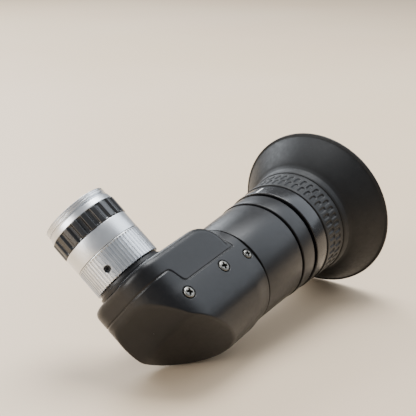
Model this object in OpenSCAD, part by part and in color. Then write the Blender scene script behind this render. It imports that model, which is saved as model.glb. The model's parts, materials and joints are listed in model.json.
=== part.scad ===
// Right-angle viewfinder: a screw-on coupling, a prism housing that turns the view by 90 degrees,
// and a barrel with a dioptre ring and a rubber eyecup. It lies on the eyecup's rim and the housing.
// The assembly is drawn with the barrel along +Z and the coupling tube along -Y, then laid down.

/* [Housing] */
// Radius of the housing's round half
round_r = 17.2; // [17:0.1:17.6]
// Half width across the flat sides of the front block
flat_x = 16.2; // [15.9:0.1:16.4]
// Distance from the barrel axis to the face that carries the coupling tube
face_s = 17; // [16.5:0.25:18]
// Distance from the tube axis to the closed end
end_z = 12.6; // [12.4:0.1:13]
// Corner radius of the closed end, seen along the tube
end_r = 12.2; // [11:0.2:13]
// Wall thickness
wall = 2; // [1.6:0.1:2.2]
// Height of the parting line above the barrel axis, beside the prism
part_s = 5.1; // [4.6:0.1:5.6]
// Height of the parting line across the closed end
end_part_s = 10.7; // [10.2:0.1:11.2]

/* [Barrel] */
// Where the housing ends and the barrel tube begins
seam_z = 30.2; // [29.5:0.1:31]
// Radius of the barrel tube
barrel_r = 17.3; // [17:0.1:17.5]
// Front edge of the middle ring
mid_z = 51; // [50:0.5:52]
// Length of the middle ring
mid_l = 7; // [6:0.5:8]
// Front edge of the dioptre ring
focus_z = 59.2; // [59:0.1:60]
// Radius of the dioptre ring's smooth band
focus_r = 18.4; // [18.2:0.1:18.6]
// Radius of the eyecup's rim
cup_r = 29; // [27:0.5:30]
// Distance from the tube axis to the eyecup's rim
cup_z = 92; // [90:0.5:94]

/* [Coupling tube] */
// Outer radius of the silver sleeve
tube_r = 11.5; // [11.4:0.1:11.8]
// Radius of the coupling lip, the 22 mm eyepiece thread's outside
lip_r = 11; // [10.8:0.05:11.1]
// Distance from the barrel axis to the end of the lip
lip_s = 44.4; // [44:0.1:45]
// Number of knurl teeth
knurl_teeth = 60; // [48:4:72]
// Number of ridges on the grip ring
grip_ridges = 20; // [16:1:24]

/* [Resting pose] */
// Rise of the barrel axis from the table
barrel_rise = 7.45; // [7:0.05:9]
// Lean of the coupling tube from upright
tube_lean = 47.3; // [45:0.1:50]

/* [Hidden] */
$fn = 96;

eps = 0.01;
run = 0.05;                     // radial clearance of every running fit
rest_shift = [-39.8, -5.55, 0];       // puts the origin under the middle of the resting object

rim_lip = 0.9;                  // depth of the eyecup rim's round edge

// Closed end: two facets that cut the elbow's outer corner
end_facet = [-8.2, -end_z];     // y, z where the upper facet starts
end_angle = 29;
low_facet = [3.5, -6.1];        // y, z where the lower facet starts
low_angle = 50.5;
round_shift = 0.5;              // how far the round half is set back from the coupling tube

// Front block: the arc that rounds its barrel end
arc_r = 10;
block_z = 25.6;
block_corner = 3;

// Coupling tube stations, measured from the barrel axis
collar_s = face_s + 1;          // top of the wide step of the bearing collar
collar_top = face_s + 1.9;      // top of its narrow step
knurl_s = 19.2;
knurl_top = 28.3;
band_s = 28.5;
grip_s = 34.3;
grip_top = 40.1;
cone_top = 42;
recess_top = 42.7;
bearing_r = 8.5;
journal_r = bearing_r - run;
seat_r = 9.8;                   // sleeve under the knurled ring
nose_r = 9.6;                   // sleeve under the grip ring
sleeve_end = 42;
light_r = 6.4;
objective_r = 7.2;

// Barrel stations
core_r = 13.2;                  // bore of the barrel tube, outside of the guide tube
groove_r = 16.4;
spigot_r = 15.2;
spigot_z = 25.8;
nose_z = 66;
barrel_nose_r = 15.6;
guide_end = 79.2;
cell_r = 12.05;
pin_z = 72;
pin_travel = 2.2;
pin_r = 0.9;
pin_turn = [30, 150, 270];
grip_z = 66;
seat_z = 76.6;
collar_end = 80.5;

// Side screws: y, z of each, and the flange screws' station
side_screw_yz = [[-1.7, 16.4], [-1.8, -1.9]];
flange_screw_z = 27.9;
head_r = 1.75;
shank_r = 1;
small_head_r = 1.4;

module place()
    translate(rest_shift + [0, 0, rest_height()])
        rotate([0, -barrel_rise, 0]) rotate([-90 - tube_lean, 0, 0]) rotate([0, 90, 0]) children();

// Height of the barrel axis' start above the table, with the eyecup's rim touching it
function rest_height() = cup_r * cos(barrel_rise) - (cup_z - rim_lip) * sin(barrel_rise);

module on_tube() rotate([90, 0, 0]) children();

module ring(r_out, r_in, from, to)
    translate([0, 0, from]) difference() {
        cylinder(r = r_out, h = to - from);
        translate([0, 0, -1]) cylinder(r = r_in, h = to - from + 2);
    }

module disc(r, from, to) translate([0, 0, from]) cylinder(r = r, h = to - from);

// Radius of a sphere whose cap over a disc of radius r is bulge high
function bulge_r(r, bulge) = (r * r + bulge * bulge) / (2 * bulge);
function cap(x, r, bulge) = bulge - bulge_r(r, bulge) + sqrt(pow(bulge_r(r, bulge), 2) - x * x);

// Biconvex lens with a cylindrical edge between from and to
module lens(r, from, to, bulge) {
    n = 8;
    rotate_extrude() polygon(concat(
        [for (i = [0:n]) let (x = r * i / n) [x, from - cap(x, r, bulge)]],
        [for (i = [n:-1:0]) let (x = r * i / n) [x, to + cap(x, r, bulge)]]));
}

// Extrudes a y-z outline along x
module along_x(half) rotate([90, 0, 90]) translate([0, 0, -half]) linear_extrude(2 * half) children();

module block_section(t) {
    w = flat_x - t;
    h = face_s - t;
    c = block_corner - t / 2;
    translate([-w, -h + c]) square([2 * w, h - c]);
    translate([-w + c, -h]) square([2 * (w - c), h]);
    for (s = [-1, 1]) translate([s * (w - c), -h + c]) circle(r = c);
}

module block_profile(t) {
    arc_z = block_z - arc_r;
    translate([-face_s + t, -end_z + t]) square([face_s - t, end_z + arc_z - t]);
    translate([-face_s + arc_r, -end_z + t]) square([face_s - arc_r, end_z + block_z - 2 * t]);
    translate([-face_s + arc_r, arc_z]) circle(r = arc_r - t);
}

module end_plan(t) {
    c = end_r - t;
    w = round_r - end_r;
    translate([-w, -end_z + t]) square([2 * w, end_z + seam_z]);
    translate([-w - c, -end_z + t + c]) square([2 * (w + c), seam_z + end_z]);
    for (s = [-1, 1]) translate([s * w, -end_z + t + c]) circle(r = c);
}

module facet_cut(point, angle, t)
    translate([0, point[0], point[1]]) rotate([angle, 0, 0])
        translate([-30, -40, -30 + t]) cube([60, 80, 30]);

// The housing's outside at t = 0, its cavity at t = wall
module housing_form(t, top_z)
    difference() {
        intersection() {
            union() {
                intersection() {
                    along_x(flat_x + 1) block_profile(t);
                    translate([0, 0, -end_z]) linear_extrude(block_z + end_z) block_section(t);
                }
                translate([0, round_shift, 0]) disc(round_r - t, -end_z, top_z);
            }
            rotate([90, 0, 0]) translate([0, 0, -30]) linear_extrude(60) end_plan(t);
        }
        facet_cut(end_facet, end_angle, t);
        facet_cut(low_facet, low_angle, t);
    }

module housing_hollow()
    difference() {
        housing_form(0, seam_z);
        housing_form(wall, spigot_z);
        disc(spigot_r, spigot_z, seam_z + 1);
        disc(core_r, spigot_z - wall - 1, spigot_z + 1);
        on_tube() disc(seat_r, face_s - wall - 1, face_s + 1);
    }

// Outline of the front shell: above the parting line, which steps up in an S behind the prism
module front_outline() {
    s_from = 0.8;
    s_to = -1.6;
    mid = (part_s + end_part_s) / 2;
    half = (end_part_s - part_s) / 2;
    steps = 12;
    polygon(concat(
        [[-face_s - 1, -end_z - 1], [-face_s - 1, block_z], [-part_s, block_z]],
        [for (i = [0:steps]) [-mid + half * cos(180 * i / steps), s_from + (s_to - s_from) * i / steps]],
        [[-end_part_s, -end_z - 1]]));
}

module at_side_screws()
    for (side = [0, 1]) mirror([side, 0, 0])
        for (p = side_screw_yz) translate([0, p[0], p[1]]) rotate([0, 90, 0]) children();

module at_flange_screws()
    for (a = [-1, 119, 239]) rotate([0, 0, a])
        translate([0, 0, flange_screw_z]) rotate([0, 90, 0]) children();

// Ears of the front shell, behind the rear shell's wall, that take the side screws
module screw_ears()
    at_side_screws() translate([-2.4, -4.6, ear_x]) cube([4.8, 6.6, 2.6]);

module front_shell()
    color("#26272b") place() difference() {
        union() {
            intersection() {
                housing_hollow();
                along_x(round_r + 1) front_outline();
            }
            intersection() {
                screw_ears();
                housing_form(wall, spigot_z);
            }
        }
        at_side_screws() disc(shank_r, 10, 16);
    }

module rear_shell()
    color("#232427") place() difference() {
        housing_hollow();
        along_x(round_r + 1) front_outline();
        at_side_screws() {
            disc(shank_r + 0.1, 10, 20);
            disc(head_r + 0.25, round_r - 0.9, 20);
        }
        at_flange_screws() {
            disc(shank_r, 10, 20);
            disc(small_head_r + 0.2, round_r - 0.9, 20);
        }
    }

module pan_screw(head, tip, seat)
    difference() {
        union() {
            disc(head, seat, seat + 0.7);
            disc(shank_r, tip, seat + eps);
        }
        for (a = [0, 90]) rotate([0, 0, a + 20])
            translate([-head * 0.6, -0.2, seat + 0.3]) cube([head * 1.2, 0.4, 1]);
    }

module side_screws() color("#b9b7ae") place() at_side_screws() pan_screw(head_r, 12.2, round_r - 0.9);

module flange_screws()
    color("#a5a49e") place() at_flange_screws() pan_screw(small_head_r, 13.4, round_r - 0.9);

prism_leg = 8.4;
prism_half = 8.4;
ear_x = 11.8;                   // inner face of the screw ears, which clamp the bracket

module prism()
    color("#cfe4ee", 0.5) place() along_x(prism_half)
        polygon([[-prism_leg, -prism_leg], [-prism_leg, prism_leg], [prism_leg, prism_leg]]);

module bracket_outline()
    polygon([[-prism_leg + 1, -prism_leg], [-prism_leg + 1, prism_leg - 3.4],
        [prism_leg - 4.4, prism_leg - 3.4], [prism_leg, prism_leg], [prism_leg + 0.6, prism_leg - 0.8],
        [-prism_leg + 1.4, -prism_leg - 0.8]]);

module prism_bracket()
    color("#4a4b4f") place() difference() {
        union() {
            along_x(prism_half + 1.2) bracket_outline();
            intersection() {
                along_x(ear_x) bracket_outline();
                translate([-ear_x, -20, -4]) cube([2 * ear_x, 40, 4.2]);
            }
        }
        along_x(prism_half)
            polygon([[-prism_leg - 5, -prism_leg - 5], [-prism_leg - 5, prism_leg + 5],
                [prism_leg + 5, prism_leg + 5]]);
    }

module prism_clip()
    color("#9a9a98") place() along_x(prism_half)
        polygon([[-prism_leg, prism_leg], [-prism_leg, prism_leg - 2.4], [-prism_leg - 0.5, prism_leg - 2.4],
            [-prism_leg - 0.5, prism_leg + 0.5], [-prism_leg + 2.4, prism_leg + 0.5],
            [-prism_leg + 2.4, prism_leg]]);

module bearing_collar()
    color("#2b2c30") place() on_tube() difference() {
        union() {
            disc(seat_r, face_s - wall, face_s);
            disc(tube_r + 0.1, face_s, collar_s);
            disc(tube_r - 0.6, collar_s, collar_top);
        }
        disc(bearing_r, face_s - 5, face_s + 5);
    }

module wave_washer()
    color("#8d8c88") place() on_tube()
        ring(seat_r, bearing_r + 0.3, face_s - wall - 0.35, face_s - wall);

module swivel_clip()
    color("#8d8c88") place() on_tube() ring(10, journal_r, face_s - wall - 1.6, face_s - wall - 0.5);

module swivel_sleeve()
    color("#d9dadc") place() on_tube() difference() {
        union() {
            disc(journal_r, face_s - wall - 2, knurl_s);
            disc(seat_r, knurl_s, band_s);
            disc(tube_r, band_s, grip_s - 0.15);
            disc(nose_r, band_s, sleeve_end);
        }
        disc(light_r, face_s - 5, sleeve_end + 1);
        disc(objective_r, sleeve_end - 3.5, sleeve_end + 1);
    }

// A toothed outline: two points on each tooth's top and two in each valley
function toothed(n, r_top, r_low) = [for (i = [0:4 * n - 1])
    let (a = 360 * i / (4 * n), r = i % 4 < 2 ? r_top : r_low) [r * cos(a), r * sin(a)]];

set_screw_s = 22.9;
set_screw_turn = [-62, 58, 178];

module at_set_screws()
    for (a = set_screw_turn) rotate([0, 0, a]) translate([0, 0, set_screw_s]) rotate([0, 90, 0]) children();

module knurled_ring()
    color("#d4d6d9") place() on_tube() difference() {
        translate([0, 0, knurl_s]) linear_extrude(knurl_top - knurl_s)
            polygon(toothed(knurl_teeth, tube_r, tube_r - 0.3));
        disc(seat_r, knurl_s - 1, knurl_top + 1);
        at_set_screws() disc(1.05, 5, 15);
    }

module set_screws()
    color("#1c1c1e") place() on_tube() at_set_screws() difference() {
        disc(1.05, seat_r, tube_r - 1);
        translate([0, 0, tube_r - 1.4]) cylinder(r = 0.55, h = 1, $fn = 6);
    }

module objective_lens()
    color("#cfe4ee", 0.5) place() on_tube() lens(objective_r, sleeve_end - 3, sleeve_end - 1.5, 0.45);

module objective_ring()
    color("#1d1e20") place() on_tube() ring(objective_r, light_r - 0.2, sleeve_end - 0.9, sleeve_end);

module grip_ring()
    color("#1f2023") place() on_tube() difference() {
        disc(tube_r + 0.25, grip_s, grip_top);
        disc(nose_r + run, grip_s - 1, grip_top + 1);
        for (i = [0:grip_ridges - 1]) rotate([0, 0, 360 * (i + 0.5) / grip_ridges])
            translate([tube_r + 0.55, 0, grip_s - 1]) cylinder(r = 0.95, h = grip_top - grip_s + 2, $fn = 24);
    }

module coupling_clip() color("#8d8c88") place() on_tube() ring(10.1, nose_r, grip_top + 0.5, grip_top + 1.2);

module thread_ring()
    color("#dfe0e2") place() on_tube() difference() {
        union() {
            translate([0, 0, grip_top]) cylinder(r1 = tube_r, r2 = tube_r - 0.35, h = cone_top - grip_top);
            disc(lip_r - 0.5, cone_top, recess_top);
            disc(lip_r, recess_top, lip_s);
        }
        disc(nose_r + run, grip_top - 1, grip_top + 0.3 + eps);
        disc(10.35, grip_top + 0.3, grip_top + 1.4);
        disc(nose_r + run, grip_top + 1, lip_s + 1);
    }

module barrel_tube()
    color("#26272b") place() difference() {
        union() {
            disc(spigot_r, spigot_z, seam_z);
            disc(barrel_r, seam_z, mid_z - 0.9);
            disc(groove_r, mid_z - 1, mid_z + mid_l + 1);
            disc(barrel_nose_r, mid_z + mid_l, nose_z);
        }
        disc(core_r, spigot_z - 1, nose_z + 1);
        at_flange_screws() disc(shank_r, 10, 16);
    }

module mid_ring() color("#292a2e") place() ring(barrel_r + 0.6, groove_r, mid_z, mid_z + mid_l);

module light_baffle() color("#151517") place() ring(core_r, 8, 31, 32);

module field_lens() color("#cfe4ee", 0.5) place() lens(core_r, 36, 38, 0.8);

module field_lens_ring() color("#151517") place() ring(core_r, 11.4, 39, 40.6);

module field_stop() color("#151517") place() ring(core_r, 9, 46, 47);

module at_guide_pins()
    for (a = pin_turn) rotate([0, 0, a]) translate([0, 0, pin_z]) rotate([0, 90, 0]) children();

module guide_slots()
    for (a = pin_turn) rotate([0, 0, a])
        translate([10, -pin_r - 0.1, pin_z - pin_travel - pin_r - 0.3])
            cube([6, 2 * pin_r + 0.2, 2 * (pin_travel + pin_r + 0.3)]);

module guide_tube()
    color("#8a8a88") place() difference() {
        ring(core_r, cell_r + run, 52, guide_end);
        guide_slots();
    }

module focus_keeper() color("#202124") place() ring(14.8, core_r, guide_end - 1.1, guide_end);

module focus_ring()
    color("#2a2b2f") place() difference() {
        union() {
            disc(focus_r, focus_z, grip_z);
            disc(focus_r - 0.8, grip_z, seat_z);
            disc(focus_r - 1.2, seat_z, collar_end - 0.5);
        }
        disc(barrel_nose_r + run, focus_z - 1, nose_z + 0.3);
        disc(core_r + run, nose_z, guide_end);
        disc(14.4, pin_z - pin_travel - 1.2, pin_z + pin_travel + 1.2);
        disc(15.1, guide_end - 1.4, guide_end + 5);
    }

module grip_band() color("#1d1e20") place() ring(focus_r + 0.6, focus_r - 0.8, grip_z, seat_z);

module index_mark()
    color("#e9e9e6") place() intersection() {
        rotate([0, 0, -57.4]) translate([focus_r - 0.5, -0.35, focus_z + 0.4]) cube([1, 0.7, 3.2]);
        ring(focus_r + 0.05, focus_r, focus_z, grip_z);
    }

// Eyecup: a sleeve over the dioptre ring, a flare that opens towards the eye and a rolled rim
cup_wall = 1.3;
flare_steps = 10;
cup_seat_r = focus_r - 1.2;
cup_collar_r = focus_r + 1.2;
function flare(u) = pow(u, 0.82);
function flare_points(r_from, r_to, z_from, z_to, steps) =
    [for (i = [0:steps]) let (u = i / steps)
        [r_from + (r_to - r_from) * flare(u), z_from + (z_to - z_from) * u]];

module eyecup()
    color("#232427") place() {
        outer = flare_points(cup_collar_r + 0.6, cup_r - 0.4, collar_end, cup_z - 1.4, flare_steps);
        inner = flare_points(cup_seat_r, cup_r - 0.4 - cup_wall, collar_end, cup_z - 0.4, flare_steps);
        inner_back = [for (i = [flare_steps:-1:0]) inner[i]];
        rotate_extrude() polygon(concat([[cup_seat_r, seat_z], [cup_collar_r - 0.4, seat_z],
            [cup_collar_r, seat_z + 0.6], [cup_collar_r + 0.4, collar_end - 0.4]], outer,
            [[cup_r, cup_z - rim_lip], [cup_r, cup_z - 0.4], [cup_r - 0.5, cup_z]], inner_back));
    }

module eyepiece_cell()
    color("#202124") place() difference() {
        disc(cell_r, 56, 82);
        disc(9.4, 55, 83);
        disc(10.4, 58, 67);
        disc(10.6, 76, 83);
        at_guide_pins() disc(pin_r, 8, 14);
    }

module inner_lens() color("#cfe4ee", 0.5) place() lens(10.4, 59.2, 61, 0.7);

module lens_spacer() color("#151517") place() ring(10.4, 9.5, 62.2, 67);

module eye_lens() color("#cfe4ee", 0.5) place() lens(10.6, 76.8, 79, 0.7);

module eye_lens_ring() color("#18191b") place() ring(10.6, 9.2, 80.1, 82);

module guide_pins()
    color("#9a9a98") place()
        at_guide_pins() disc(pin_r, 9.6, 14.2);

front_shell();
rear_shell();
side_screws();
flange_screws();
prism();
prism_bracket();
prism_clip();
bearing_collar();
wave_washer();
barrel_tube();
mid_ring();
light_baffle();
field_lens();
field_lens_ring();
field_stop();
guide_tube();
focus_keeper();
focus_ring();
grip_band();
index_mark();
eyecup();
eyepiece_cell();
eye_lens();
lens_spacer();
inner_lens();
eye_lens_ring();
guide_pins();
swivel_sleeve();
knurled_ring();
set_screws();
swivel_clip();
objective_lens();
objective_ring();
grip_ring();
thread_ring();
coupling_clip();
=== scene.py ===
"""Looks of a right-angle viewfinder that lies on its side on a pale table.

Shapes are worked out in millimetres in the viewfinder's own axes: z runs along the barrel from
the crossing of the two axes towards the eyecup, and -y along the coupling tube.
"""

import json
import math

import bpy
import numpy as np
from mathutils import Matrix, Vector


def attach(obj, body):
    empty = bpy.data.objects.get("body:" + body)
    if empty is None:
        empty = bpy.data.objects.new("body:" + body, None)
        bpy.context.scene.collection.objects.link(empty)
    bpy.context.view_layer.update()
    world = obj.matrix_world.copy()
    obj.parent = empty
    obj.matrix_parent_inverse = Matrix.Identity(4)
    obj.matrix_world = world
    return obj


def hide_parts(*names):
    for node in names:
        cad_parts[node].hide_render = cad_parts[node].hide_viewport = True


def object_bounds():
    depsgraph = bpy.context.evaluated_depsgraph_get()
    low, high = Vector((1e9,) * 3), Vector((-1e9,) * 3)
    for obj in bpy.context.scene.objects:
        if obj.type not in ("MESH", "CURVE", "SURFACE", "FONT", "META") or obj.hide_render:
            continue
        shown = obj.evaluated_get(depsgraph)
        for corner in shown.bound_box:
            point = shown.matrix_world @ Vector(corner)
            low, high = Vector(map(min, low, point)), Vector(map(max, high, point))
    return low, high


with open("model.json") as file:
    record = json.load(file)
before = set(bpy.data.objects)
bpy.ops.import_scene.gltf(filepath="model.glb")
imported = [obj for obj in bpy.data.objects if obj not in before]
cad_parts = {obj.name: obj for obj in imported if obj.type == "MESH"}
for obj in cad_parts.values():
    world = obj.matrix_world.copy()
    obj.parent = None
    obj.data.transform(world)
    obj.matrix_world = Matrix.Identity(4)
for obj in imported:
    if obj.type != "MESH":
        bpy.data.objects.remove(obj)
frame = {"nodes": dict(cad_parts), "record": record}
cad_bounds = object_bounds()

MM = 0.001
BARREL, TUBE = "barrel", "tube"
JOINTS = {j["name"]: j for j in frame["record"]["behaviour"]["joints"]}
SLOTS = {s["node"]: s["material_slot"] for s in frame["record"]["subparts"]}

# ---- The viewfinder's own axes, from its joints ----


def own_axes():
    """Matrix from millimetres in the viewfinder's axes to metres in the row frame."""
    turn, swivel = JOINTS["dioptre_turn"], JOINTS["swivel_turn"]
    along = Vector(turn["axis"]).normalized()
    tube = Vector(swivel["axis"]).normalized()
    start = Vector(turn["pos_m"])
    crossing = start + (Vector(swivel["pos_m"]) - start).dot(along) * along
    side = (-tube).cross(along)
    columns = [side * MM, -tube * MM, along * MM, crossing]
    rows = [[c[i] for c in columns] for i in range(3)]
    return Matrix(rows + [[0, 0, 0, 1]])


AXES = own_axes()
TO_ROW = np.array(AXES)
TO_OWN = np.linalg.inv(TO_ROW)


def cylinder_points(r, phi, h, on):
    """Points at radius r, angle phi and station h, about the barrel's or the tube's axis."""
    r, phi, h = np.broadcast_arrays(r, phi, h)
    if on == BARREL:
        return np.stack([r * np.cos(phi), r * np.sin(phi), h], -1)
    return np.stack([r * np.cos(phi), -h, r * np.sin(phi)], -1)


def own_points(node):
    """Vertices of a CAD node in the viewfinder's axes, in millimetres."""
    mesh = frame["nodes"][node].data
    co = np.empty(len(mesh.vertices) * 3)
    mesh.vertices.foreach_get("co", co)
    return co.reshape(-1, 3) @ TO_OWN[:3, :3].T + TO_OWN[:3, 3]


def measure(node, on):
    """Lowest and highest station and inner and outer radius of a CAD node, in millimetres."""
    own = own_points(node)
    across, along = ((0, 1), own[:, 2]) if on == BARREL else ((0, 2), -own[:, 1])
    r = np.hypot(own[:, across[0]], own[:, across[1]])
    return {"low": along.min(), "high": along.max(), "inner": r.min(), "outer": r.max()}


# ---- Mesh helpers ----


def make_object(name, points, faces, body, slot, replaces=(), sharp=35):
    """A mesh object from own-axes points, riding on a body."""
    world = points.reshape(-1, 3) @ TO_ROW[:3, :3].T + TO_ROW[:3, 3]
    mesh = bpy.data.meshes.new(name)
    faces = np.asarray(faces, dtype=np.int32)
    mesh.vertices.add(len(world))
    mesh.vertices.foreach_set("co", world.astype(np.float32).ravel())
    mesh.loops.add(faces.size)
    mesh.loops.foreach_set("vertex_index", faces.ravel())
    mesh.polygons.add(len(faces))
    mesh.polygons.foreach_set("loop_start", np.arange(len(faces), dtype=np.int32) * faces.shape[1])
    mesh.update(calc_edges=True)
    mesh.validate()
    mesh.shade_smooth()
    mesh.set_sharp_from_angle(angle=math.radians(sharp))
    piece = bpy.data.objects.new(name, mesh)
    bpy.context.scene.collection.objects.link(piece)
    piece.data.materials.append(MATERIALS[slot])
    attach(piece, body)
    if replaces:
        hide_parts(*replaces)
    return piece


def grid_faces(rows, columns, closed_rows):
    """Quads of a grid whose columns wrap round, and whose rows do too if closed_rows."""
    v = np.arange(rows if closed_rows else rows - 1)[:, None]
    u = np.arange(columns)[None, :]
    w, x = (v + 1) % rows, (u + 1) % columns
    quads = np.stack([v * columns + u, v * columns + x, w * columns + x, w * columns + u], -1)
    return quads.reshape(-1, 4)


def rounded(loop, radius=0.25, steps=4):
    """A closed outline with each corner turned into a small arc."""
    points = [Vector(p[:2]) for p in loop]
    radii = [p[2] if len(p) > 2 else radius for p in loop]
    out = []
    for i, p in enumerate(points):
        before, after = points[i - 1] - p, points[(i + 1) % len(points)] - p
        cut = min(radii[i], 0.45 * before.length, 0.45 * after.length)
        start, end = p + before.normalized() * cut, p + after.normalized() * cut
        for k in range(steps + 1):
            t = k / steps
            out.append((1 - t) ** 2 * start + 2 * t * (1 - t) * p + t * t * end)
    return np.array([tuple(p) for p in out])


def outward(loop):
    """The outline ordered so that its faces look outwards."""
    r, h = loop[:, 0], loop[:, 1]
    area = np.sum(r * np.roll(h, -1) - np.roll(r, -1) * h)
    return loop if area > 0 else loop[::-1]


def subdivided(loop, step):
    """The outline with points no further apart than step."""
    out = []
    for a, b in zip(loop, np.roll(loop, -1, axis=0)):
        n = max(1, int(math.ceil(np.linalg.norm(b - a) / step)))
        out.extend(a + (b - a) * k / n for k in range(n))
    return np.array(out)


def turned(name, loop, on, body, slot, replaces=(), radius=0.25, segments=256,
           relief=None, step=0.25):
    """A ring turned from a closed (radius, station) outline; relief(phi, r, h) adds to its radius."""
    outline = outward(rounded(loop, radius))
    if relief is not None:
        outline = subdivided(outline, step)
    r, h = outline[:, :1], outline[:, 1:]
    phi = np.linspace(0, 2 * math.pi, segments, endpoint=False)[None, :]
    if relief is not None:
        r = r + relief(phi, r, h)
    points = cylinder_points(r, phi, h, on)
    faces = grid_faces(len(outline), segments, True)
    return make_object(name, points, faces, body, slot, replaces)


def smoothstep(low, high, value):
    t = np.clip((value - low) / (high - low), 0, 1)
    return t * t * (3 - 2 * t)


# ---- Materials ----


def node(tree, kind, **values):
    made = tree.nodes.new(kind)
    for key, value in values.items():
        if key in made.inputs:
            made.inputs[key].default_value = value
        else:
            setattr(made, key, value)
    return made


def noise(tree, scale, detail=4.0, stretch=(1, 1, 1)):
    """Noise in object space; scale is features per metre."""
    place = node(tree, "ShaderNodeTexCoord")
    mapping = node(tree, "ShaderNodeMapping")
    mapping.inputs["Scale"].default_value = stretch
    texture = node(tree, "ShaderNodeTexNoise", Scale=scale, Detail=detail)
    tree.links.new(place.outputs["Object"], mapping.inputs["Vector"])
    tree.links.new(mapping.outputs["Vector"], texture.inputs["Vector"])
    return texture.outputs["Fac"]


def spread(tree, value, low, high, start=0.3, end=0.7):
    made = node(tree, "ShaderNodeMapRange")
    for key, number in (("From Min", start), ("From Max", end), ("To Min", low), ("To Max", high)):
        made.inputs[key].default_value = number
    tree.links.new(value, made.inputs["Value"])
    return made.outputs["Result"]


def mixed(tree, factor, first, second):
    made = node(tree, "ShaderNodeMix", data_type="RGBA")
    made.inputs[6].default_value = (*first, 1)
    made.inputs[7].default_value = (*second, 1)
    tree.links.new(factor, made.inputs["Factor"])
    return made.outputs[2]


def bumped(tree, height, distance):
    made = node(tree, "ShaderNodeBump", Strength=1.0, Distance=distance)
    tree.links.new(height, made.inputs["Height"])
    return made.outputs["Normal"]


# Features per metre of the colour's blotches, of the specks of dust and of the worn patches
BLOTCHES, DUST_SPECKS, WORN_PATCHES = 260.0, 2600.0, 700.0
DUST_COLOUR = (0.35, 0.34, 0.33, 1)


def material(slot, base, second, rough, grain, grain_depth, dust=0.0, **sockets):
    """A surface with blotchy colour and roughness, a fine grain and a little dust."""
    made = bpy.data.materials.new(slot)
    made.use_nodes = True
    tree = made.node_tree
    shader = tree.nodes["Principled BSDF"]
    blotches = noise(tree, BLOTCHES, 5.0)
    colour = mixed(tree, spread(tree, blotches, 0, 1), base, second)
    if dust:
        specks = spread(tree, noise(tree, DUST_SPECKS, 2.0), 0, dust, 0.66, 0.8)
        top = node(tree, "ShaderNodeMix", data_type="RGBA")
        top.inputs[7].default_value = DUST_COLOUR
        tree.links.new(specks, top.inputs["Factor"])
        tree.links.new(colour, top.inputs[6])
        colour = top.outputs[2]
    tree.links.new(colour, shader.inputs["Base Color"])
    wear = noise(tree, WORN_PATCHES, 6.0)
    tree.links.new(spread(tree, wear, rough[0], rough[1]), shader.inputs["Roughness"])
    fine = bumped(tree, noise(tree, grain, 3.0), grain_depth)
    tree.links.new(fine, shader.inputs["Normal"])
    for key, value in sockets.items():
        shader.inputs[key.replace("_", " ")].default_value = value
    return made


def glass(slot):
    made = material(slot, (0.86, 0.93, 0.95), (0.80, 0.90, 0.93), (0.01, 0.04), 900.0, 1e-6)
    shader = made.node_tree.nodes["Principled BSDF"]
    shader.inputs["Transmission Weight"].default_value = 1.0
    shader.inputs["IOR"].default_value = 1.5
    shader.inputs["Coat Weight"].default_value = 0.4
    shader.inputs["Coat Tint"].default_value = (0.75, 0.70, 1.0, 1)
    return made


def make_materials():
    black, grey = (0.0040, 0.0042, 0.0052), (0.0064, 0.0066, 0.0078)
    rubber, worn_rubber = (0.0055, 0.0056, 0.0060), (0.0085, 0.0086, 0.0092)
    silver, pale = (0.70, 0.72, 0.75), (0.78, 0.80, 0.82)
    return {
        "housing_black": material("housing_black", black, grey, (0.31, 0.40), 5200.0, 7e-6, 0.03,
                                  Specular_IOR_Level=0.36),
        "collar_black": material("collar_black", black, grey, (0.30, 0.42), 4200.0, 5e-6, 0.03,
                                 Specular_IOR_Level=0.36),
        "focus_gloss_black": material("focus_gloss_black", black, grey, (0.20, 0.28), 3000.0, 1.5e-6,
                                      0.03, Specular_IOR_Level=0.5),
        "grip_gloss_black": material("grip_gloss_black", black, grey, (0.24, 0.28), 3600.0, 1.0e-6, 0.0,
                                     Specular_IOR_Level=0.9),
        "grip_rubber": material("grip_rubber", rubber, worn_rubber, (0.42, 0.54), 3600.0, 1.0e-5, 0.04,
                                Specular_IOR_Level=0.36),
        "eyecup_rubber": material("eyecup_rubber", rubber, worn_rubber, (0.46, 0.58), 3200.0, 1.0e-5, 0.05,
                                  Specular_IOR_Level=0.30),
        "inner_black": material("inner_black", (0.008, 0.008, 0.008), (0.013, 0.013, 0.013),
                                (0.60, 0.75), 4000.0, 6e-6, 0.02),
        "satin_aluminium": material("satin_aluminium", silver, pale, (0.31, 0.35), 5200.0, 1.5e-6,
                                    Metallic=1.0),
        "knurled_aluminium": material("knurled_aluminium", silver, pale, (0.30, 0.34), 4200.0, 1.5e-6,
                                      Metallic=1.0),
        "guide_aluminium": material("guide_aluminium", (0.030, 0.030, 0.032), (0.045, 0.045, 0.048),
                                    (0.40, 0.52), 3000.0, 5e-6, Metallic=0.6),
        "spring_steel": material("spring_steel", (0.40, 0.40, 0.40), (0.5, 0.5, 0.5), (0.25, 0.4),
                                 2600.0, 4e-6, Metallic=1.0),
        "screw_steel": material("screw_steel", (0.20, 0.195, 0.18), (0.29, 0.285, 0.26), (0.30, 0.44),
                                3000.0, 8e-6, Metallic=1.0),
        "index_white": material("index_white", (0.80, 0.80, 0.78), (0.70, 0.70, 0.68), (0.45, 0.6),
                                4000.0, 5e-6),
        "lens_glass": glass("lens_glass"),
    }


def finish_cad_nodes():
    """Gives each CAD node that still shows its slot's material."""
    for name, obj in frame["nodes"].items():
        if not obj.material_slots:
            obj.data.materials.append(None)
        for s in obj.material_slots:
            s.material = MATERIALS[SLOTS[name]]


# ---- Prism housing: one rounded form, split along its parting line ----

# Radius of the round back and how far its middle is from the barrel's axis
ROUND_R, ROUND_SHIFT = 17.2, 0.5
# Radius at the barrel's seam, and the stations between which the round back turns into it
SEAM_R, FLANGE_Z = 17.05, (22.5, 29.0)
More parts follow.
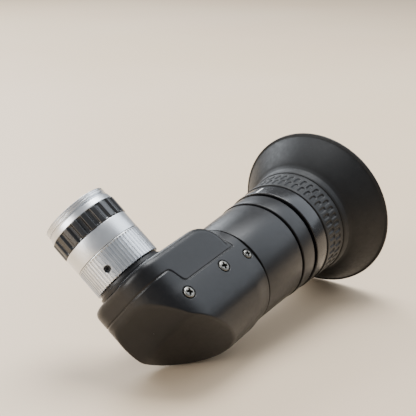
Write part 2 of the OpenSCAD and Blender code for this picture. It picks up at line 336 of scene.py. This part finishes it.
# The block under the coupling tube: half width, face, end, and the radii of its corner and edges
FLAT_X, FACE_S, BLOCK_Z = 16.2, 17.0, 25.6
BLOCK_ARC, BLOCK_EDGE = 10.0, 2.6
# The closed end's station and edge radius
END_Z, END_R = 12.6, 12.2
# The two facets, each by a point (y, z) and its slope, and how far their edges are rounded
UPPER_FACET = (-8.2, -END_Z, math.radians(29))
LOWER_FACET = (3.5, -6.1, math.radians(50.5))
FACET_EDGE, FACET_CREASE = 0.5, 0.5
# How far the other joins are blended: block to round back, and body to closed end
BLOCK_BLEND, END_BLEND = 0.5, 2.6
# The parting line's two levels, the stations of the slant between them and its bend radius
PART_Y, END_PART_Y = -5.1, -10.7
JOG, JOG_R = (-1.4, 0.5), 1.5
SEAM_Z = measure("barrel_tube", BARREL)["low"] + 4.4
# The parting groove, the gap before the barrel, and the barrel's spigot that closes it
SEAM_HALF, SEAM_DEPTH = 0.21, 0.22
SEAM_GAP = 0.55
SPIGOT, SPIGOT_R = 1.5, 16.35
# The surface grid, and the station where its rays turn from sideways to endways
HOUSING_COLUMNS, END_ROWS, SIDE_ROWS = 640, 150, 150
TURN_Z = 2.0


def soft_max(a, b, k):
    h = np.maximum(k - np.abs(a - b), 0) / k
    return np.maximum(a, b) + h * h * k / 4


def soft_min(a, b, k):
    return -soft_max(-a, -b, k)


def round_corner(a, b, radius, power=2.0):
    """Distance-like value for the quadrant a < 0, b < 0 with a rounded corner."""
    qa, qb = np.maximum(a + radius, 0), np.maximum(b + radius, 0)
    length = (qa**power + qb**power) ** (1 / power)
    return length + np.minimum(np.maximum(a + radius, b + radius), 0) - radius


def facet(y, z, edge):
    y0, z0, angle = edge
    return (y - y0) * math.sin(angle) - (z - z0) * math.cos(angle)


def housing_value(x, y, z):
    """Negative inside the housing."""
    outline = round_corner(-y - FACE_S, z - BLOCK_Z, BLOCK_ARC, 2.4)
    block = np.maximum(round_corner(np.abs(x) - FLAT_X, outline, BLOCK_EDGE), y)
    waist = smoothstep(*FLANGE_Z, z)
    tube = np.hypot(x, y - ROUND_SHIFT * (1 - waist)) - ROUND_R - (SEAM_R - ROUND_R) * waist
    body = soft_min(block, tube, BLOCK_BLEND)
    end = round_corner(np.abs(x) - ROUND_R, -z - END_Z, END_R)
    body = soft_max(body, end, END_BLEND)
    cut = soft_max(facet(y, z, UPPER_FACET), facet(y, z, LOWER_FACET), FACET_CREASE)
    return soft_max(body, cut, FACET_EDGE)


def ray_length(start, direction):
    """Distance along each ray to the housing's surface."""
    low = np.zeros(direction.shape[:-1])
    high = np.full_like(low, 40.0)
    for _ in range(26):
        middle = (low + high) / 2
        p = start + direction * middle[..., None]
        inside = housing_value(p[..., 0], p[..., 1], p[..., 2]) < 0
        low, high = np.where(inside, middle, low), np.where(inside, high, middle)
    return low


def housing_grid():
    """Rows of surface points from the closed end to the barrel's seam."""
    phi = np.linspace(0, 2 * math.pi, HOUSING_COLUMNS, endpoint=False)
    tilt = np.linspace(0.004, 1, END_ROWS) * math.pi / 2
    stations = np.linspace(TURN_Z, SEAM_Z - SEAM_GAP, SIDE_ROWS)
    theta = np.concatenate([tilt, np.full(SIDE_ROWS - 1, math.pi / 2)])[:, None]
    base = np.concatenate([np.full(END_ROWS, TURN_Z), stations[1:]])[:, None]
    direction = np.stack([np.sin(theta) * np.cos(phi), np.sin(theta) * np.sin(phi),
                          -np.cos(theta) + 0 * phi], -1)
    start = np.stack([0 * direction[..., 0], 0 * direction[..., 0], base + 0 * phi], -1)
    return start + direction * ray_length(start, direction)[..., None]


def parting_line():
    """The step in the parting line as (z, y) points: two levels joined by a rounded slant."""
    corners = [(-40, END_PART_Y), (JOG[0], END_PART_Y), (JOG[1], PART_Y), (60, PART_Y)]
    bends = rounded([(*c, JOG_R) for c in corners], steps=8)[9:27]
    place = np.linspace(0, len(bends) - 1, 160)
    return [np.interp(place, np.arange(len(bends)), bends[:, k]) for k in (0, 1)]


def parting_distance(p):
    """Signed distance from the parting line, negative on the front shell."""
    y, z = p[..., 1], p[..., 2]
    step_z, step_y = parting_line()
    level = np.interp(z, step_z, step_y)
    distance = np.abs(y - level)
    near = (np.abs(z - sum(JOG) / 2) < 4) & (y < 0)
    gap = np.hypot(z[near][:, None] - step_z, y[near][:, None] - step_y)
    distance[near] = np.minimum(distance[near], gap.min(axis=1))
    side = np.where(y < level, -distance, distance)
    return np.maximum(side, z - BLOCK_Z - 0.2)


def surface_normals(p, step=0.05):
    gradient = []
    for axis in range(3):
        shift = np.zeros(3)
        shift[axis] = step
        ahead, behind = (housing_value(*np.moveaxis(q, -1, 0)) for q in (p + shift, p - shift))
        gradient.append(ahead - behind)
    gradient = np.stack(gradient, -1)
    return gradient / np.linalg.norm(gradient, axis=-1, keepdims=True)


# How far a screw's points lie from its head, and how tall its head is
SCREW_REACH, HEAD_HEIGHT = 6.0, 0.75
# A screw's seat: its depth, and how far beyond the head its wall starts and ends
SEAT_DEPTH, SEAT_WALL = 0.55, (0.18, 0.42)


def screw_places():
    """Middle and outward direction of each cross-head screw, with its head radius."""
    places = []
    for name, count in (("side_screws", 4), ("flange_screws", 3)):
        for middle, radius in solids_of(name, count):
            across = middle[1] if name == "flange_screws" else 0
            outwards = np.array([middle[0], across, 0])
            places.append((name, middle, outwards / np.linalg.norm(outwards), radius))
    return places


def solids_of(name, count):
    """Middle of the head and head radius of each separate solid in a CAD node of screws."""
    out = []
    left = own_points(name)
    for _ in range(count):
        seed = left[np.argmax(np.hypot(left[:, 0], left[:, 1]))]
        near = np.linalg.norm(left - seed, axis=1) < SCREW_REACH
        group, left = left[near], left[~near]
        far = np.hypot(group[:, 0], group[:, 1])
        head = group[far > far.max() - HEAD_HEIGHT]
        middle = (head.min(axis=0) + head.max(axis=0)) / 2
        size = np.sort(head.max(axis=0) - head.min(axis=0))[1] / 2
        out.append((middle, size))
    return out


def sunk_screw_seats(p, normals):
    """Lowers the surface round each screw into a flat-bottomed seat."""
    depth = np.zeros(p.shape[:-1])
    for _, middle, outwards, radius in screw_places():
        offset = p - middle
        along = offset @ outwards
        across = np.linalg.norm(offset - along[..., None] * outwards, axis=-1)
        on_side = along > -3
        wall = smoothstep(radius + SEAT_WALL[0], radius + SEAT_WALL[1], across)
        seat = SEAT_DEPTH * (1 - wall) * on_side
        depth = np.maximum(depth, seat)
    return p - normals * depth[..., None]


def build_housing():
    p = housing_grid()
    normals = surface_normals(p)
    distance = parting_distance(p)
    groove = 1 - smoothstep(SEAM_HALF * 0.5, SEAM_HALF * 1.6, np.abs(distance))
    p = sunk_screw_seats(p, normals) - normals * (SEAM_DEPTH * groove)[..., None]
    last = p[-1]
    lip = last * np.array([0.970, 0.970, 1]) + np.array([0, 0, 0.05])
    inner = lip * np.array([0.965, 0.965, 1])
    p = np.concatenate([p, lip[None], inner[None]])
    distance = np.concatenate([distance, np.full((2, HOUSING_COLUMNS), 9.0)])
    faces = grid_faces(len(p), HOUSING_COLUMNS, False)
    front = (distance.ravel()[faces] < 0).mean(axis=1) > 0.5
    for name, chosen in (("front_shell", front), ("rear_shell", ~front)):
        used, compact = np.unique(faces[chosen][:, ::-1], return_inverse=True)
        make_object("housing." + name, p.reshape(-1, 3)[used], compact.reshape(-1, 4),
                    "housing", SLOTS[name], (name,), sharp=60)


# ---- Cross-head screws ----


def screw_height(x, y, radius):
    """Height of a pan head with a cross recess, from its seat."""
    r = np.hypot(x, y) / radius
    dome = 0.42 * np.sqrt(np.clip(1 - r**2.6, 0, 1))
    long, wide = np.maximum(np.abs(x), np.abs(y)), np.minimum(np.abs(x), np.abs(y))
    arm = 1 - smoothstep(0.14 * radius, 0.24 * radius, wide)
    reach = 1 - smoothstep(0.50 * radius, 0.70 * radius, long)
    return dome - 1.3 * arm * reach * (0.55 + 0.45 * (1 - long / radius).clip(0, 1))


def build_screws():
    turn = {"side_screws": (20, 55, -30, 70), "flange_screws": (35, 5, 60)}
    seen = {name: 0 for name in turn}
    for name, middle, outwards, radius in screw_places():
        number = seen[name]
        seen[name] += 1
        angle = math.radians(turn[name][number])
        side = np.cross([0, 0, 1.0], outwards)
        first = math.cos(angle) * side + math.sin(angle) * np.array([0, 0, 1.0])
        second = np.cross(outwards, first)
        r = np.linspace(0.004, 1, 40)[::-1, None] * radius
        phi = np.linspace(0, 2 * math.pi, 120, endpoint=False)[None, :]
        x, y = r * np.cos(phi), r * np.sin(phi)
        z = screw_height(x, y, radius) - 0.2
        skirt = np.stack([x[0], y[0], z[0] - 0.9], -1)[None]
        local = np.concatenate([skirt, np.stack([x, y, z], -1)])
        points = middle + local[..., :1] * first + local[..., 1:2] * second + local[..., 2:] * outwards
        faces = grid_faces(len(points), points.shape[1], False)
        replaced = (name,) if number == 0 else ()
        make_object(f"{name}.{number}", points, faces, "housing", "screw_steel", replaced, sharp=50)


# ---- Rings along the barrel ----


# Inside radii of the barrel's nose and of the dioptre ring's steps, and how deep those steps go
NOSE_R, NOSE_DEPTH = 15.55, 6.5
RING_BORE_R, RING_BORE_DEPTH = 15.7, 7.2
KEEPER_R, KEEPER_DEPTH = 15.1, 2.2
RING_CORE_R = 13.35


def build_barrel_tube():
    m = measure("barrel_tube", BARREL)
    ring = measure("mid_ring", BARREL)
    keep = measure("focus_ring", BARREL)
    groove_r, core, nose_end = ring["inner"], m["inner"], keep["low"] + NOSE_DEPTH
    loop = [
        (core, SEAM_Z - SPIGOT, 0.1), (SPIGOT_R, SEAM_Z - SPIGOT, 0.1), (SPIGOT_R, SEAM_Z + 0.05, 0.05),
        (m["outer"] - 0.30, SEAM_Z + 0.05, 0.2), (m["outer"] + 0.28, ring["low"] - 0.85, 0.3),
        (groove_r, ring["low"] - 0.85, 0.1), (groove_r, ring["high"] + 0.95, 0.05),
        (NOSE_R, ring["high"] + 0.95, 0.1), (NOSE_R, nose_end, 0.2), (core, nose_end, 0.1),
    ]
    turned("barrel.tube", loop, BARREL, "housing", "housing_black", ("barrel_tube",))


def plain_ring(name, cad, on, body, slot, radius=0.3):
    m = measure(cad, on)
    loop = [(m["inner"], m["low"]), (m["outer"], m["low"]), (m["outer"], m["high"]), (m["inner"], m["high"])]
    turned(name, loop, on, body, slot, (cad,), radius=radius)


def build_focus_ring():
    m = measure("focus_ring", BARREL)
    grip = measure("grip_band", BARREL)
    r, keeper_z, bore_z = m["outer"], m["high"] - KEEPER_DEPTH, m["low"] + RING_BORE_DEPTH
    loop = [
        (RING_BORE_R, m["low"], 0.15), (r, m["low"], 0.35), (r, grip["low"] - 0.25, 0.15),
        (r - 0.35, grip["low"] + 0.1, 0.1), (grip["inner"], grip["low"] + 0.1, 0.1),
        (grip["inner"], grip["high"], 0.1), (grip["inner"] - 0.4, m["high"], 0.3),
        (KEEPER_R, m["high"], 0.3), (KEEPER_R, keeper_z, 0.1), (RING_CORE_R, keeper_z, 0.1),
        (RING_CORE_R, bore_z, 0.1), (RING_BORE_R, bore_z, 0.1),
    ]
    turned("dioptre.band", loop, BARREL, "dioptre_ring", "focus_gloss_black", ("focus_ring",))


# Pockets in each row of the grip, their depth, half sizes and the rows' distances from its start
POCKETS, POCKET_DEPTH = 46, 0.42
POCKET_HALF_LONG, POCKET_HALF_WIDE = 1.75, 0.72
POCKET_ROWS = (3.0, 6.9)


def build_grip_band():
    m = measure("grip_band", BARREL)

    def pockets(phi, r, h):
        depth = 0
        for number, row in enumerate(POCKET_ROWS):
            turn = (phi / (2 * math.pi) * POCKETS + 0.5 * number) % 1 - 0.5
            across = turn * 2 * math.pi * m["outer"] / POCKETS
            along = np.abs(h - (m["low"] + row))
            beyond = np.maximum(along - (POCKET_HALF_LONG - POCKET_HALF_WIDE), 0)
            wall = smoothstep(POCKET_HALF_WIDE - 0.3, POCKET_HALF_WIDE + 0.22, np.hypot(across, beyond))
            depth = np.maximum(depth, 1 - wall)
        return -POCKET_DEPTH * depth * (r > m["outer"] - 0.3)

    loop = [(m["inner"], m["low"], 0.1), (m["outer"] - 0.25, m["low"], 0.3),
            (m["outer"], m["high"], 0.3), (m["inner"], m["high"], 0.1)]
    turned("dioptre.grip", loop, BARREL, "dioptre_ring", "grip_rubber", ("grip_band",),
           segments=POCKETS * 24, relief=pockets, step=0.16)


MARK_HALF_WIDE, MARK_SIDES = 0.38, 48


def build_index_mark():
    """A rounded white bar a little proud of the ring, from its foot up to its flat top."""
    m = measure("index_mark", BARREL)
    middle = own_points("index_mark").mean(axis=0)
    phi0 = math.atan2(middle[1], middle[0])
    r = m["outer"] - 0.02
    half = MARK_HALF_WIDE / r
    t = np.linspace(0, 2 * math.pi, MARK_SIDES, endpoint=False)
    wide = half * np.sign(np.cos(t)) * np.abs(np.cos(t)) ** 0.35
    length = (m["high"] - m["low"]) / 2 + 0.5
    long = length * np.sign(np.sin(t)) * np.abs(np.sin(t)) ** 0.35
    station = (m["low"] + m["high"]) / 2 + 0.4
    rows = []
    for scale, height in ((1.0, -0.06), (1.0, 0.02), (0.9, 0.04), (0.5, 0.04), (0.02, 0.04)):
        rows.append(cylinder_points(r + height, phi0 + wide * scale, station + long * scale, BARREL))
    points = np.stack(rows)
    make_object("dioptre.mark", points, grid_faces(len(rows), MARK_SIDES, False), "dioptre_ring",
                "index_white", ("index_mark",))


# The eyecup's flare bends as this power of the way along, in this many points
FLARE, FLARE_POINTS = 0.86, 16


def flare(r_from, r_to, h_from, h_to):
    """Points of a curve that opens from one radius and station to another."""
    return [(r_from + (r_to - r_from) * u**FLARE, h_from + (h_to - h_from) * u)
            for u in np.linspace(0, 1, FLARE_POINTS)]


def build_eyecup():
    m = measure("eyecup", BARREL)
    seat = measure("focus_ring", BARREL)["high"]
    low, high, rim = m["low"], m["high"], m["outer"]
    neck = measure("grip_band", BARREL)["outer"] + 0.55
    outer = flare(neck + 1.0, rim - 0.9, seat + 0.3, high - 1.5)
    inner = flare(m["inner"] + 0.05, rim - 2.25, seat + 0.6, high - 0.8)[::-1]
    loop = [(m["inner"] + 0.05, low, 0.1), (neck - 0.35, low, 0.3), (neck, low + 0.8, 0.3),
            (neck + 0.25, seat - 0.7, 0.3)]
    loop += [(r, h, 0.4) for r, h in outer]
    loop += [(rim - 0.15, high - 1.35, 0.35), (rim, high - 0.75, 0.4), (rim - 0.3, high - 0.1, 0.4),
             (rim - 1.1, high, 0.4), (rim - 1.9, high - 0.45, 0.4)]
    loop += [(r, h, 0.4) for r, h in inner]
    turned("eyecup", loop, BARREL, "dioptre_ring", "eyecup_rubber", ("eyecup",), segments=320)


def lens_piece(name, cad, on, body, bulge):
    """A smooth biconvex lens."""
    m = measure(cad, on)
    r, low, high = m["outer"], m["low"] + bulge, m["high"] - bulge
    rows = 28
    u = np.linspace(0.003, 1, rows)
    ball = (r * r + bulge * bulge) / (2 * bulge)
    cap = bulge - ball + np.sqrt(ball**2 - (r * u) ** 2)
    radii = np.concatenate([r * u, r * u[::-1]])
    stations = np.concatenate([low - cap, (high + cap)[::-1]])
    phi = np.linspace(0, 2 * math.pi, 128, endpoint=False)[None, :]
    points = cylinder_points(radii[:, None], phi, stations[:, None], on)
    make_object(name, points, grid_faces(2 * rows, 128, False), body, "lens_glass", (cad,))


# ---- Rings along the coupling tube ----


def build_bearing_collar():
    m = measure("bearing_collar", TUBE)
    r, top, bore = m["outer"], m["high"], m["inner"]
    loop = [(bore, m["low"], 0.1), (9.7, m["low"], 0.1), (9.7, FACE_S - 0.3, 0.05), (r, FACE_S - 0.3, 0.05),
            (r, top - 0.95, 0.18), (r - 0.65, top - 0.85, 0.1), (r - 0.75, top, 0.18), (bore, top, 0.15)]
    turned("collar", loop, TUBE, "housing", "collar_black", ("bearing_collar",))


# The sleeve's spigot and nose radii, and the bore and depth of the objective's seat
SLEEVE_SPIGOT_R, SLEEVE_NOSE_R, SLEEVE_BORE_R = 8.4, 9.55, 6.4
SEAT_R, OBJECTIVE_DEPTH = 7.25, 3.5


def build_sleeve():
    m = measure("swivel_sleeve", TUBE)
    knurl, grip = measure("knurled_ring", TUBE), measure("grip_ring", TUBE)
    r, seat, lens_z = m["outer"], knurl["inner"], m["high"] - OBJECTIVE_DEPTH
    loop = [
        (SLEEVE_BORE_R, m["low"], 0.1), (SLEEVE_SPIGOT_R, m["low"], 0.15),
        (SLEEVE_SPIGOT_R, knurl["low"], 0.05), (seat, knurl["low"], 0.05),
        (seat, knurl["high"] + 0.12, 0.05), (r, knurl["high"] + 0.12, 0.15), (r, grip["low"] - 0.12, 0.18),
        (SLEEVE_NOSE_R, grip["low"] - 0.12, 0.05), (SLEEVE_NOSE_R, m["high"], 0.2),
        (SEAT_R, m["high"], 0.1), (SEAT_R, lens_z, 0.1), (SLEEVE_BORE_R, lens_z, 0.1),
    ]
    turned("swivel.sleeve", loop, TUBE, "swivel", "satin_aluminium", ("swivel_sleeve",))


# Teeth round the knurled ring and their depth, and the set screws' holes in it
KNURLS, KNURL_DEPTH = 60, 0.55
HOLE_WALL, HOLE_DEPTH = (0.92, 1.12), 1.62


def set_screw_places():
    """Angle and station of each set screw."""
    left = own_points("set_screws")
    out = []
    while len(left):
        near = np.linalg.norm(left - left[0], axis=1) < 4
        middle = (left[near].min(axis=0) + left[near].max(axis=0)) / 2
        out.append((math.atan2(middle[2], middle[0]), -middle[1]))
        left = left[~near]
    return out


def build_knurled_ring():
    m = measure("knurled_ring", TUBE)
    holes = set_screw_places()

    def teeth(phi, r, h):
        wave = 0.5 + 0.5 * np.cos(phi * KNURLS)
        tooth = smoothstep(0.18, 0.70, wave) - 1
        ends = 1 - smoothstep(m["high"] - 0.5, m["high"] - 0.2, h)
        depth = KNURL_DEPTH * tooth * ends
        for turn, station in holes:
            across = ((phi - turn + math.pi) % (2 * math.pi) - math.pi) * m["outer"]
            hole = 1 - smoothstep(*HOLE_WALL, np.hypot(across, h - station))
            depth = depth * (1 - hole) - HOLE_DEPTH * hole
        return depth * (r > m["outer"] - 0.4)

    loop = [(m["inner"], m["low"], 0.1), (m["outer"], m["low"], 0.22), (m["outer"], m["high"], 0.22),
            (m["inner"], m["high"], 0.1)]
    turned("swivel.knurl", loop, TUBE, "swivel", "knurled_aluminium", ("knurled_ring",),
           segments=KNURLS * 16, relief=teeth, step=0.2)


RIDGES, FLUTE_DEPTH = 20, 0.72


def build_grip_ring():
    m = measure("grip_ring", TUBE)

    def flutes(phi, r, h):
        turn = (phi / (2 * math.pi) * RIDGES) % 1 - 0.5
        across = np.abs(turn) * 2 * math.pi * m["outer"] / RIDGES
        valley = 1 - smoothstep(0.35, 1.15, across)
        start = smoothstep(m["low"] + 0.1, m["low"] + 0.5, h)
        end = 1 - smoothstep(m["high"] - 0.5, m["high"] - 0.1, h)
        return -FLUTE_DEPTH * valley * (0.75 + 0.25 * start * end) * (r > m["outer"] - 0.6)

    loop = [(m["inner"], m["low"], 0.1), (m["outer"], m["low"], 0.3), (m["outer"], m["high"], 0.3),
            (m["inner"], m["high"], 0.1)]
    turned("coupling.grip", loop, TUBE, "coupling", "grip_gloss_black", ("grip_ring",),
           segments=RIDGES * 36, relief=flutes, step=0.2)


THREAD_PITCH, THREAD_DEPTH, THREAD_LENGTH = 0.75, 0.26, 1.75


def build_thread_ring():
    m = measure("thread_ring", TUBE)
    low, high, lip = m["low"], m["high"], frame_mount_radius()
    start = high - THREAD_LENGTH

    def thread(phi, r, h):
        turn = (h / THREAD_PITCH - phi / (2 * math.pi)) % 1
        crest = 1 - np.abs(turn - 0.5) * 2
        fade = smoothstep(start + 0.05, start + 0.25, h) * (1 - smoothstep(high - 0.35, high - 0.1, h))
        return -THREAD_DEPTH * (1 - smoothstep(0.1, 0.8, crest)) * fade * (r > lip - 0.2) * (h > start)

    loop = [(m["inner"], low, 0.1), (m["outer"], low, 0.15), (m["outer"] - 0.35, start - 0.7, 0.15),
            (lip - 0.55, start - 0.65, 0.1), (lip - 0.55, start, 0.1), (lip, start + 0.05, 0.1),
            (lip, high, 0.22), (m["inner"], high, 0.15)]
    turned("coupling.thread", loop, TUBE, "coupling", "satin_aluminium", ("thread_ring",),
           segments=384, relief=thread, step=0.06)


def frame_mount_radius():
    """Radius of the coupling's lip, from the record."""
    mount = next(m for m in frame["record"]["mounts"] if m["name"] == "coupling_thread")
    return mount["dims"]["r_mm"]


# ---- Camera, table and light ----

# The camera's place and two of its directions in the viewfinder's axes
CAMERA_OWN = (222.26, 19.71, -203.89)
CAMERA_RIGHT = (0.5031, 0.6613, 0.5564)
CAMERA_DOWN = (-0.5603, 0.7398, -0.3725)
CAMERA_LENS = 86.6


def make_camera():
    camera = bpy.data.objects.new("camera", bpy.data.cameras.new("camera"))
    bpy.context.scene.collection.objects.link(camera)
    turn = AXES.to_3x3() * (1 / MM)
    right, down = (turn @ Vector(CAMERA_RIGHT)).normalized(), (turn @ Vector(CAMERA_DOWN)).normalized()
    back = right.cross(-down).normalized()
    up = back.cross(right)
    place = AXES @ Vector(CAMERA_OWN)
    rows = [[right[i], up[i], back[i], place[i]] for i in range(3)]
    camera.matrix_world = Matrix(rows + [[0, 0, 0, 1]])
    camera.data.sensor_width = 36
    camera.data.lens = CAMERA_LENS
    camera.data.clip_start = 0.01
    camera.data.clip_end = 20
    bpy.context.scene.camera = camera
    return camera


def make_table():
    low, high = cad_bounds
    mesh = bpy.data.meshes.new("table")
    size, level = 6.0, min(low.z, 0) - 0.0002
    corners = [(-size, -size, level), (size, -size, level), (size, size, level), (-size, size, level)]
    mesh.from_pydata(corners, [], [(0, 1, 2, 3)])
    table = bpy.data.objects.new("table", mesh)
    bpy.context.scene.collection.objects.link(table)
    made = bpy.data.materials.new("table")
    made.use_nodes = True
    tree = made.node_tree
    shader = tree.nodes["Principled BSDF"]
    tint = mixed(tree, spread(tree, noise(tree, 3.0), 0, 1), (0.80, 0.61, 0.41), (0.84, 0.66, 0.47))
    tree.links.new(tint, shader.inputs["Base Color"])
    shader.inputs["Roughness"].default_value = 0.5
    mesh.materials.append(made)


def area_light(name, place, target, size, power, colour):
    data = bpy.data.lights.new(name, "AREA")
    data.shape = "RECTANGLE"
    data.size, data.size_y = size
    data.energy = power
    data.color = colour
    light = bpy.data.objects.new(name, data)
    bpy.context.scene.collection.objects.link(light)
    light.location = place
    light.rotation_euler = (Vector(target) - Vector(place)).to_track_quat("-Z", "Y").to_euler()


PANEL_DISTANCE = 0.9


def side_reflection(middle):
    """Direction from which light glances off the housing's flat side into the camera."""
    side = (AXES.to_3x3() @ Vector((1, 0, 0))).normalized()
    view = (AXES @ Vector(CAMERA_OWN) - middle).normalized()
    return 2 * side.dot(view) * side - view


def make_lights():
    world = bpy.data.worlds.new("studio")
    bpy.context.scene.world = world
    world.use_nodes = True
    sky = world.node_tree.nodes["Background"]
    sky.inputs["Color"].default_value = (0.93, 0.96, 1.0, 1)
    sky.inputs["Strength"].default_value = 0.42
    low, high = cad_bounds
    middle = (low + high) / 2
    area_light("overhead", (0.25, 0.1, 0.9), middle, (0.5, 0.5), 10.0, (0.96, 0.98, 1.0))
    area_light("window", (0.35, 0.95, 0.6), middle, (1.0, 0.6), 14.0, (0.90, 0.95, 1.0))
    area_light("left", (-0.75, 0.35, 0.3), middle, (0.35, 0.5), 5.0, (1.0, 0.98, 0.95))
    area_light("side_panel", middle + PANEL_DISTANCE * side_reflection(middle), middle,
               (0.8, 0.8), 5.0, (0.84, 0.91, 1.0))


# ---- Build ----

MATERIALS = make_materials()
make_camera()
make_table()
make_lights()
finish_cad_nodes()
build_housing()
build_screws()
build_barrel_tube()
plain_ring("barrel.mid_ring", "mid_ring", BARREL, "housing", "housing_black", 0.35)
build_focus_ring()
build_grip_band()
build_index_mark()
build_eyecup()
lens_piece("eye_lens.front", "eye_lens", BARREL, "eyepiece", 0.7)
lens_piece("objective.lens", "objective_lens", TUBE, "swivel", 0.45)
plain_ring("eyepiece.ring", "eye_lens_ring", BARREL, "eyepiece", "inner_black", 0.25)
plain_ring("objective.ring", "objective_ring", TUBE, "swivel", "inner_black", 0.2)
build_bearing_collar()
build_sleeve()
build_knurled_ring()
build_grip_ring()
build_thread_ring()
